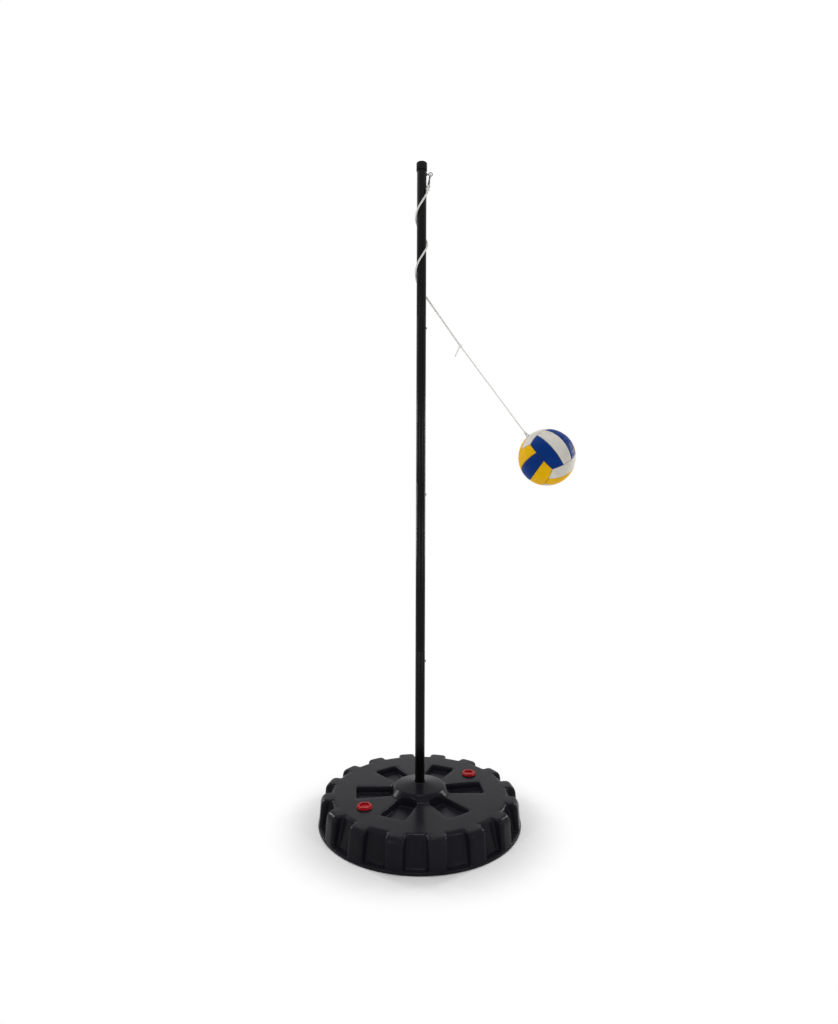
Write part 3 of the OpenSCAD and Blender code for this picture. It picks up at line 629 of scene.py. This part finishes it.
# the hub, from its skirt up to the mouth of the socket and down to the socket's floor
hub_start = 84
hub_profile = [(r, crown_height(r)) for r in (hub_start, 80, 76, 70, 60, 50, 40, 32, 27)]
hub_profile += [(24.8, 136.6), (23.6, 137.4), (22.8, 138.4), (21.8, hub_z - 0.1), (20.8, hub_z)]
hub_profile += [(19.4, hub_z), (18.3, hub_z - 0.3), (socket_r, hub_z - 1.2), (socket_r, 100), (socket_r, 50),
                (socket_r, socket_floor)]
hub_rings = [ring_of(circle(r, 96), z) for r, z in hub_profile]
join_rings(hub_rings, close=True)

# the pockets, from their rounded rims down to their floors
rim_round = 4
floor_round = 3.5
lip_out = 3.2            # the rounded rim starts this far outside the pocket's outline
wall_foot = 4.1          # and the wall ends this far inside it
draft = math.atan(pocket_draft / pocket_depth)
pocket_profile = [(rim_round * math.cos(a) - lip_out, rim_round * (1 - math.sin(a)))
                  for a in (math.radians(90) - (math.radians(90) - draft) * k / 5 for k in range(6))]
pocket_profile += [(2.4, 11), (wall_foot, pocket_depth - floor_round)]
pocket_profile += [(wall_foot + floor_round * (1 - math.cos(a)),
                    pocket_depth - floor_round * (1 - math.sin(a)))
                   for a in map(math.radians, (20, 40, 60, 90))]
floor_z = deck_z - pocket_depth
holes = []
for i in range(pocket_count):
    turn = pocket_turn + i * 360 / pocket_count
    rings = []
    for inset, depth in pocket_profile:
        share = depth / pocket_depth
        points = [on_turn(turn, p.x, p.y) for p in pocket_loop(inset)]
        rings.append(ring_of(points, lambda x, y: crown_height(math.hypot(x, y)) * (1 - share)
                             + floor_z * share))
    join_rings(rings, close=True)
    holes.append(rings[0])

# the two filler necks, with shallow ridges moulded in each
neck_ridge = 0.14
for turn in filler_turns:
    centre = on_turn(turn, filler_r)
    neck_rows = [(19.4, 0), (18.5, 0.25), (18.1, 0.9)]
    neck_rows += [(neck_r - neck_ridge * (k % 2), 2 + k) for k in range(9)]
    neck_rows += [(neck_r, 12), (neck_r, 16)]
    rings = [ring_of(circle(r, 48, centre), deck_z - depth) for r, depth in neck_rows]
    join_rings(rings)
    holes.append(rings[0])

# the top between all of these, as one sheet of triangles
loops = [side_rings[-1], hub_rings[0]] + holes
sheet_corners = [corner for loop in loops for corner in loop]
edges, start = [], 0
for loop in loops:
    edges += [(start + k, start + (k + 1) % len(loop)) for k in range(len(loop))]
    start += len(loop)


def in_loop(x, y, loop, margin=0.0):
    """Whether a point is inside a closed ring of corners, or within a margin of one of them."""
    inside = False
    for a, b in zip(loop, loop[1:] + loop[:1]):
        if math.hypot(a.co.x - x, a.co.y - y) < margin:
            return True
        if (a.co.y > y) != (b.co.y > y):
            if x < a.co.x + (y - a.co.y) * (b.co.x - a.co.x) / (b.co.y - a.co.y):
                inside = not inside
    return inside


rim_clear = 3            # the sheet's own corners keep this far from a hole's rim
sheet_rows = (86, 88, 90, 92, 94, 96, 99, 102, 105, 107, 109, 111, 113, 115, 120, 128, 150, 180, 210, 245,
              275, 295)
for r in sheet_rows:
    for x, y in circle(r * mm, 144, start=r * 0.7):
        if not any(in_loop(x, y, hole, rim_clear * mm) for hole in holes):
            sheet_corners.append(tank_mesh.verts.new((x, y, crown_height(math.hypot(x, y) / mm) * mm)))
flat = [Vector((corner.co.x, corner.co.y)) for corner in sheet_corners]
made, _, triangles, origins, _, _ = delaunay_2d_cdt(flat, edges, [], 1, 1e-7)
for triangle in triangles:
    x = sum(made[k].x for k in triangle) / 3
    y = sum(made[k].y for k in triangle) / 3
    if not any(in_loop(x, y, loop) for loop in loops[1:]):
        tank_mesh.faces.new([sheet_corners[origins[k][0]] for k in triangle])

crease = math.radians(50)
bmesh.ops.recalc_face_normals(tank_mesh, faces=tank_mesh.faces)
for face in tank_mesh.faces:
    face.smooth = True
for edge in tank_mesh.edges:
    edge.smooth = not (edge.is_manifold and edge.calc_face_angle(0) > crease)
mesh = mesh_of("tank_shell", tank_mesh)
mesh.materials.append(tank_finish)
tank_shell = add_object("tank_shell", mesh)
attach(tank_shell, "base")
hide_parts("tank")


# ---------- filler caps ----------
# Two red screw caps close the tank. Each is moulded with a flange and a six-sided grip that is hollow
# above, and it sits on a flat rubber washer.

def round_edges(part, edge, rings=2):
    """Small rounded edges, edge millimetres wide."""
    rounding = part.modifiers.new("edges", "BEVEL")
    rounding.width = edge * mm
    rounding.segments = rings
    rounding.limit_method = "ANGLE"
    rounding.angle_limit = math.radians(40)
    rounding.harden_normals = True


def dress(names, material, edge, rings=2):
    """Gives solids that keep their own shape a finish and small rounded edges."""
    for name in names:
        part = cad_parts[name]
        part.data.materials.clear()
        part.data.materials.append(material)
        weld = part.modifiers.new("weld", "WELD")
        weld.merge_threshold = 2e-6
        round_edges(part, edge, rings)


cap_finish = moulded("red polyethylene", srgb(148, 4, 14), srgb(160, 10, 22), 0.3, 0.0009, 0.00008,
                    Specular_IOR_Level=0.15)
rubber_finish = moulded("black rubber", srgb(32, 32, 32), srgb(44, 43, 42), 0.72, 0.0006, 0.00006)
dress(["filler_cap_left", "filler_cap_right"], cap_finish, 0.9, 3)
dress(["filler_seal_left", "filler_seal_right"], rubber_finish, 0.25)

cap_seat = 106.5
thread_line_r = 17.35
thread_r = 0.45          # its crest clears the neck's ridges
thread_top = 1.6         # under the seat
thread_run = 9           # from top to bottom
thread_steps = 60
step_turn = 18
for side, turn in zip(("left", "right"), filler_turns):
    x, y = on_turn(turn, filler_r)
    threads = []
    for k in range(thread_steps + 1):
        angle = math.radians(-k * step_turn)
        threads.append(Vector((x + thread_line_r * math.cos(angle), y + thread_line_r * math.sin(angle),
                               cap_seat - thread_top - k * thread_run / thread_steps)))
    crest = sweep(threads, thread_r, 8, blunt=(True, True))
    thread = new_piece("cap_thread_" + side, [crest], cap_finish)
    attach(thread, "cap_" + side)


# ---------- pole ----------
# Four steel tubes with a black powder coat stand in each other. A moulded plug closes the foot and a
# moulded cap the top, and a sprung button locks each joint.

coat, tree, shader = new_finish("black powder coat", Specular_IOR_Level=0.11)
place = put(tree, "TexCoord").outputs["Object"]
skin = use_group(tree, grain, Vector=place, Grain_Size=0.0007, Patch_Size=0.05)
peel = put(tree, "TexVoronoi", {"Vector": place, "Scale": 1300.0}).outputs["Distance"]
tree.links.new(tint(tree, skin["Patches"], srgb(6, 6, 7), srgb(9, 9, 10)), shader["Base Color"])
tree.links.new(calc(tree, "MULTIPLY_ADD", skin["Scuffs"], 0.25, 0.24), shader["Roughness"])
coat_height = calc(tree, "MULTIPLY_ADD", peel, 0.4, skin["Height"])
tree.links.new(raise_surface(tree, coat_height, 0.00007), shader["Normal"])
trim_finish = moulded("black moulded trim", srgb(12, 12, 13), srgb(17, 17, 18), 0.42, 0.0008, 0.0001,
                      Specular_IOR_Level=0.12)
dress(["pole_section_" + number for number in "1234"], coat, 0.3)
dress(["foot_plug", "top_cap"], trim_finish, 0.5)


# ---------- steel fittings ----------
# The snap buttons, the eye bolt with its nuts and the swivel snap are steel with a dull zinc plate.
# The springs are bright spring steel.

def plated(name, colour, dull, roughness, depth):
    """Bright or plated metal with cloudy patches and fine scratches."""
    material, tree, shader = new_finish(name, Metallic=1.0)
    place = put(tree, "TexCoord").outputs["Object"]
    skin = use_group(tree, grain, Vector=place, Grain_Size=0.0004, Patch_Size=0.006)
    tree.links.new(tint(tree, skin["Patches"], colour, dull), shader["Base Color"])
    rough = calc(tree, "MULTIPLY_ADD", skin["Patches"], 0.12, roughness)
    tree.links.new(calc(tree, "MULTIPLY_ADD", skin["Scuffs"], 0.15, rough), shader["Roughness"])
    tree.links.new(raise_surface(tree, skin["Height"], depth), shader["Normal"])
    return material


zinc = plated("dull zinc plate", srgb(126, 127, 130), srgb(104, 105, 108), 0.34, 0.00004)
bright = plated("spring steel", srgb(190, 191, 193), srgb(168, 168, 170), 0.2, 0.00001)
dress(["snap_button_" + number for number in "123"], zinc, 0.25)
dress(["rivet_nut", "eye_lock_nut", "eye_bolt", "snap_bolt", "swivel_eye", "eyelet_bar"], zinc, 0.2)
dress(["snap_hook_body"], zinc, 0.3)


def flat_strip(line, width, thickness):
    """A flat strip's corners, faces and UVs, along a line in the XZ plane."""
    last = len(line) - 1
    corners, faces = [], []
    for i, point in enumerate(line):
        ahead = (line[min(i + 1, last)] - line[max(i - 1, 0)]).normalized()
        out = Vector((-ahead.z, 0, ahead.x)) * thickness / 2
        edge = Vector((0, width / 2, 0))
        corners += [(point + way) * mm for way in (out + edge, out - edge, -out - edge, edge - out)]
    for i in range(0, 4 * last, 4):
        faces += [(i + k, i + (k + 1) % 4, i + 4 + (k + 1) % 4, i + 4 + k) for k in range(4)]
    faces += [(3, 2, 1, 0), tuple(4 * last + k for k in range(4))]
    return corners, faces, [(0, 0)] * (4 * len(faces))


strip_width = 8.0
strip_t = 0.8
for number in "123":
    low_corner, high_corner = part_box("button_spring_" + number)
    far_x = low_corner[0] / mm
    near_x = high_corner[0] / mm
    foot_z = low_corner[2] / mm
    bend_z = foot_z + 1.4
    leg_x = near_x - strip_t / 2
    hairpin = [(leg_x, foot_z + 38), (leg_x, foot_z + 30), (leg_x - 0.3, foot_z + 22), (7, foot_z + 12),
               (1.7, bend_z), (0.9, foot_z + 0.5), (-0.9, foot_z + 0.5), (-1.7, bend_z),
               (-7.5, foot_z + 18), (far_x + strip_t / 2, foot_z + 36)]
    strip_line = smooth_line([Vector((x, 0, z)) for x, z in hairpin], 0.8)
    strip = new_piece("button_strip_" + number, [flat_strip(strip_line, strip_width, strip_t)], bright)
    round_edges(strip, 0.12)
    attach(strip, "pole")
    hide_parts("button_spring_" + number)
    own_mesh(strip)

spring_low = -34.0
spring_high = -22.43
coil_steps = 16
coil_count = 7 * coil_steps
coil_r = 1.15
wire_r = 0.3
hook_bend_r = 6.75
coil_height = spring_high - spring_low - 2 * wire_r
coil_line = [hook_frame @ Vector((coil_r * math.cos(a), coil_r * math.sin(a) - hook_bend_r,
                                  spring_low + wire_r + coil_height * k / coil_count))
             for k, a in ((k, 2 * math.pi * k / coil_steps) for k in range(coil_count + 1))]
bolt_spring = new_piece("bolt_spring_coil", [sweep(coil_line, wire_r, 8)], bright)
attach(bolt_spring, "hook")
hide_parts("snap_bolt_spring")
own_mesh(bolt_spring)


# ---------- ball ----------
# The ball is a rubber bladder in a wound carcass, with eighteen panels of soft grained composite
# leather glued on. Each panel is skived at its edge, so that a groove shows between it and the next.

leather, takes, gives = new_group(
    "leather grain",
    {"Vector": ("Vector", None), "Pebble Size": ("Float", 0.0011)},
    {"Height": "Float", "Crease": "Float", "Wear": "Float"})
pebble = put(leather, "TexVoronoi", {"Vector": takes["Vector"], "Randomness": 0.9,
                                     "Scale": calc(leather, "DIVIDE", 1.0, takes["Pebble Size"])},
             feature="DISTANCE_TO_EDGE").outputs["Distance"]
pores = put(leather, "TexNoise", {"Vector": takes["Vector"], "Scale": 2600.0, "Detail": 2.0}).outputs["Fac"]
worn = put(leather, "TexNoise", {"Vector": takes["Vector"], "Scale": 22.0, "Detail": 5.0}).outputs["Fac"]
round_top = ease(leather, pebble, 0.0, 0.22)
leather.links.new(calc(leather, "MULTIPLY_ADD", pores, 0.2, round_top), gives["Height"])
leather.links.new(calc(leather, "SUBTRACT", 1.0, round_top), gives["Crease"])
leather.links.new(ease(leather, worn, 0.42, 0.68), gives["Wear"])


def composite(name, colour, worn_colour, crease_shade_colour):
    material, tree, shader = new_finish(name, Specular_IOR_Level=0.06)
    place = put(tree, "TexCoord").outputs["Object"]
    skin = use_group(tree, leather, Vector=place)
    base = tint(tree, skin["Wear"], colour, worn_colour)
    # Painted shade: the creases between the grain's pebbles are darkened towards a shaded copy of the colour.
    crease_shaded = tint(tree, calc(tree, "MULTIPLY", skin["Crease"], 0.35), base, crease_shade_colour)
    tree.links.new(crease_shaded, shader["Base Color"])
    tree.links.new(calc(tree, "MULTIPLY_ADD", skin["Wear"], 0.08, 0.46), shader["Roughness"])
    tree.links.new(raise_surface(tree, skin["Height"], 0.00012), shader["Normal"])
    return material


ball_r = 104.0
panel_t = 2.0
seam = 1.2
glue_line = 0.05
edge_drop = 1.5          # how far a pad's edge falls, and over what width
edge_width = 3.2
end_share = 0.75         # how a pad's end and side count in its rounding
side_share = 0.9
crowding = 0.1           # a pad's steps crowd to its edges; 0.5 would space them evenly
third = math.radians(15.5)
half_face = math.radians(45)
ball_centre = at_ball_knot @ Vector((0, 0, -15 - ball_r))
panel_turn = rotation(-79, "Z") @ rotation(-25, "Y") @ rotation(-56, "X")
at_panels = Matrix.Translation(ball_centre) @ panel_turn


def crowded(share):
    """Takes even steps from 0 to 1 to steps that lie closer at both ends."""
    along = crowding + (1 - 2 * crowding) * share
    return 0.5 - 0.5 * math.cos(math.pi * along) / math.cos(crowding * math.pi)


def panel_part(place, side):
    """One of the three panels on a face of the ball's six: a closed pad with softly rounded edges."""
    low = (-third, -half_face, third)[side]
    high = (third, -third, half_face)[side]
    long_steps, wide_steps = 44, 20
    trim = seam / 2 / ball_r
    outer, inner = [], []
    for i in range(long_steps + 1):
        for j in range(wide_steps + 1):
            u, v = crowded(i / long_steps), crowded(j / wide_steps)
            x = math.tan(2 * half_face * u - half_face) * (1 - trim * 2)
            y = math.tan(low + trim + (high - low - 2 * trim) * v)
            ray = Vector((x, y, 1)).normalized()
            to_end = (1 - trim * 2 - abs(x)) / math.sqrt(1 + x * x) * ball_r * end_share
            to_side = min(v, 1 - v) * (high - low) * ball_r * side_share
            inward = min(1, min(to_end, to_side) / edge_width)
            drop = edge_drop * (1 - math.sqrt(max(0, 1 - (1 - inward) ** 2)))
            outer.append((place @ (ray * (ball_r - drop))) * mm)
            inner.append((place @ (ray * (ball_r - panel_t + glue_line))) * mm)
    across = wide_steps + 1
    count = len(outer)
    faces = []
    for i in range(long_steps):
        for j in range(wide_steps):
            a, b = i * across + j, (i + 1) * across + j
            faces.append((a, b, b + 1, a + 1))
            faces.append((count + a, count + a + 1, count + b + 1, count + b))
    border = list(range(across)) + [(i + 1) * across + wide_steps for i in range(long_steps)]
    border += [long_steps * across + wide_steps - 1 - j for j in range(wide_steps)]
    border += [(long_steps - 1 - i) * across for i in range(long_steps - 1)]
    for a, b in zip(border, border[1:] + border[:1]):
        faces.append((a, a + count, b + count, b)[::-1])
    return outer + inner, faces, [(0, 0)] * (4 * len(faces))


def faced(x_turn, y_turn, z_turn):
    """The turn of one of the six faces; its panels run along its own X."""
    return at_panels @ rotation(y_turn, "Y") @ rotation(x_turn, "X") @ rotation(z_turn, "Z")


x_faces = [faced(0, 90, 90), faced(0, -90, 90)]
y_faces = [faced(90, 0, 90), faced(-90, 0, 90)]
z_faces = [faced(0, 0, 0), faced(180, 0, 0)]
# The third colour of each panel is the painted shade in its grain's creases.
ball_panels = {
    "blue": ([(f, side) for f in x_faces for side in (1, 2)] + [(f, 0) for f in z_faces],
             composite("blue composite", srgb(0, 52, 128), srgb(2, 58, 136), srgb(0, 26, 76))),
    "white": ([(f, 0) for f in x_faces] + [(f, side) for f in y_faces for side in (1, 2)],
              composite("white composite", srgb(226, 222, 214), srgb(214, 209, 199), srgb(170, 164, 152))),
    "yellow": ([(f, side) for f in z_faces for side in (1, 2)] + [(f, 0) for f in y_faces],
               composite("yellow composite", srgb(244, 192, 4), srgb(238, 182, 4), srgb(190, 132, 4))),
}


def cutter(name, place, radius, low, high):
    """A plain round cutter along Z, used to open a hole and then thrown away."""
    shape = bmesh.new()
    bmesh.ops.create_cone(shape, cap_ends=True, segments=64, radius1=radius * mm, radius2=radius * mm,
                          depth=(high - low) * mm)
    lift = Matrix.Translation((0, 0, (high + low) / 2 * mm))
    shape.transform(Matrix.Translation(place.to_translation() * mm)
                    @ place.to_quaternion().to_matrix().to_4x4() @ lift)
    return add_object(name, mesh_of(name, shape))


cup_tool = cutter("cup_tool", at_ball_knot, 13.1, -40, 10)
valve_tool = cutter("valve_tool", at_panels @ rotation(-90, "Y"), 4.1, 80, 120)
for colour, (placed, finish) in ball_panels.items():
    pads = new_piece("panel_pads_" + colour, [panel_part(place, side) for place, side in placed], finish)
    for tool in (cup_tool, valve_tool):
        hole = pads.modifiers.new("hole", "BOOLEAN")
        hole.operation = "DIFFERENCE"
        hole.solver = "EXACT"
        hole.object = tool
    opened = bpy.data.meshes.new_from_object(pads.evaluated_get(bpy.context.evaluated_depsgraph_get()))
    pads.modifiers.clear()
    pads.data = opened
    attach(pads, "ball")
    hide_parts("panels_" + colour)
for tool in (cup_tool, valve_tool):
    bpy.data.objects.remove(tool)

windings, tree, shader = new_finish("wound carcass", Roughness=0.8)
place = put(tree, "TexCoord").outputs["Object"]
drawn_out = put(tree, "VectorMath", {0: place, 1: (1.0, 9.0, 1.0)}, operation="MULTIPLY").outputs[0]
threads = put(tree, "TexNoise", {"Vector": drawn_out, "Scale": 160.0}).outputs["Fac"]
tree.links.new(tint(tree, threads, srgb(54, 50, 46), srgb(92, 86, 76)), shader["Base Color"])
tree.links.new(raise_surface(tree, threads, 0.0003), shader["Normal"])
dress(["carcass"], windings, 0.1)
dress(["bladder", "valve", "eyelet_cup"], rubber_finish, 0.3)


# ---------- studio ----------
# A plain pale floor that keeps the shadow round the base, and a white background. One lamp above, two
# behind and two narrow ones in front give soft, even light.

fade_from = 0.37         # the floor fades into the background between these, in metres from the axis
fade_to = 0.56
ambient = 0.44           # the background's own light on the object


def seen_directly(tree):
    """1 where the background is looked at, in a reflection or not, and 0 where it gives light."""
    rays = put(tree, "LightPath").outputs
    return calc(tree, "MAXIMUM", calc(tree, "MAXIMUM", rays["Is Camera Ray"], rays["Is Glossy Ray"]),
                rays["Is Transmission Ray"])


shape = bmesh.new()
bmesh.ops.create_grid(shape, x_segments=2, y_segments=2, size=14)
floor_data = mesh_of("floor", shape)
floor_finish, tree, shader = new_finish("pale floor", Roughness=0.9, Specular_IOR_Level=0.0)
shader["Base Color"].default_value = (0.9, 0.9, 0.9, 1)
place = put(tree, "TexCoord").outputs["Object"]
far = ease(tree, put(tree, "VectorMath", {0: place}, operation="LENGTH").outputs["Value"],
           fade_from, fade_to)
glow = put(tree, "Emission", {"Color": (1, 1, 1, 1), "Strength": 1.0}).outputs[0]
lit = tree.nodes["Principled BSDF"].outputs[0]
glowing = calc(tree, "MULTIPLY", far, seen_directly(tree))
mixed = put(tree, "MixShader", {0: glowing, 1: lit, 2: glow}).outputs[0]
tree.links.new(mixed, tree.nodes["Material Output"].inputs["Surface"])
floor_data.materials.append(floor_finish)
floor = add_object("floor", floor_data)
floor.location = (0, 0, -0.0005)

world = bpy.data.worlds.new("studio")
bpy.context.scene.world = world
world.use_nodes = True
tree = world.node_tree
background = tree.nodes["Background"]
background.inputs["Color"].default_value = (1, 1, 1, 1)
strength = calc(tree, "MULTIPLY_ADD", seen_directly(tree), 1 - ambient, ambient)
tree.links.new(strength, background.inputs["Strength"])


def soft_box(name, place, aim, width, height, power):
    """A soft area lamp at a place, turned to shine at a point."""
    lamp = bpy.data.lights.new(name, "AREA")
    lamp.shape = "RECTANGLE"
    lamp.size, lamp.size_y = width, height
    lamp.energy = power
    holder = add_object(name, lamp)
    holder.location = place
    holder.rotation_euler = (Vector(aim) - Vector(place)).to_track_quat("-Z", "Y").to_euler()


soft_box("top_light", (0, 0.2, 4.4), (0, 0, 0), 0.5, 0.9, 40)
soft_box("left_strip", (-1.5, -2.1, 1.3), (0, 0, 1.2), 0.2, 1.2, 9)
soft_box("right_strip", (1.75, -1.9, 1.3), (0, 0, 1.2), 0.2, 1.2, 9)
soft_box("left_light", (-2.5, 1.5, 1.5), (0, 0, 0.3), 0.35, 1.3, 32)
soft_box("right_light", (2.5, 1.5, 1.5), (0, 0, 0.3), 0.35, 1.3, 32)

view = bpy.context.scene.view_settings
view.view_transform = "Standard"
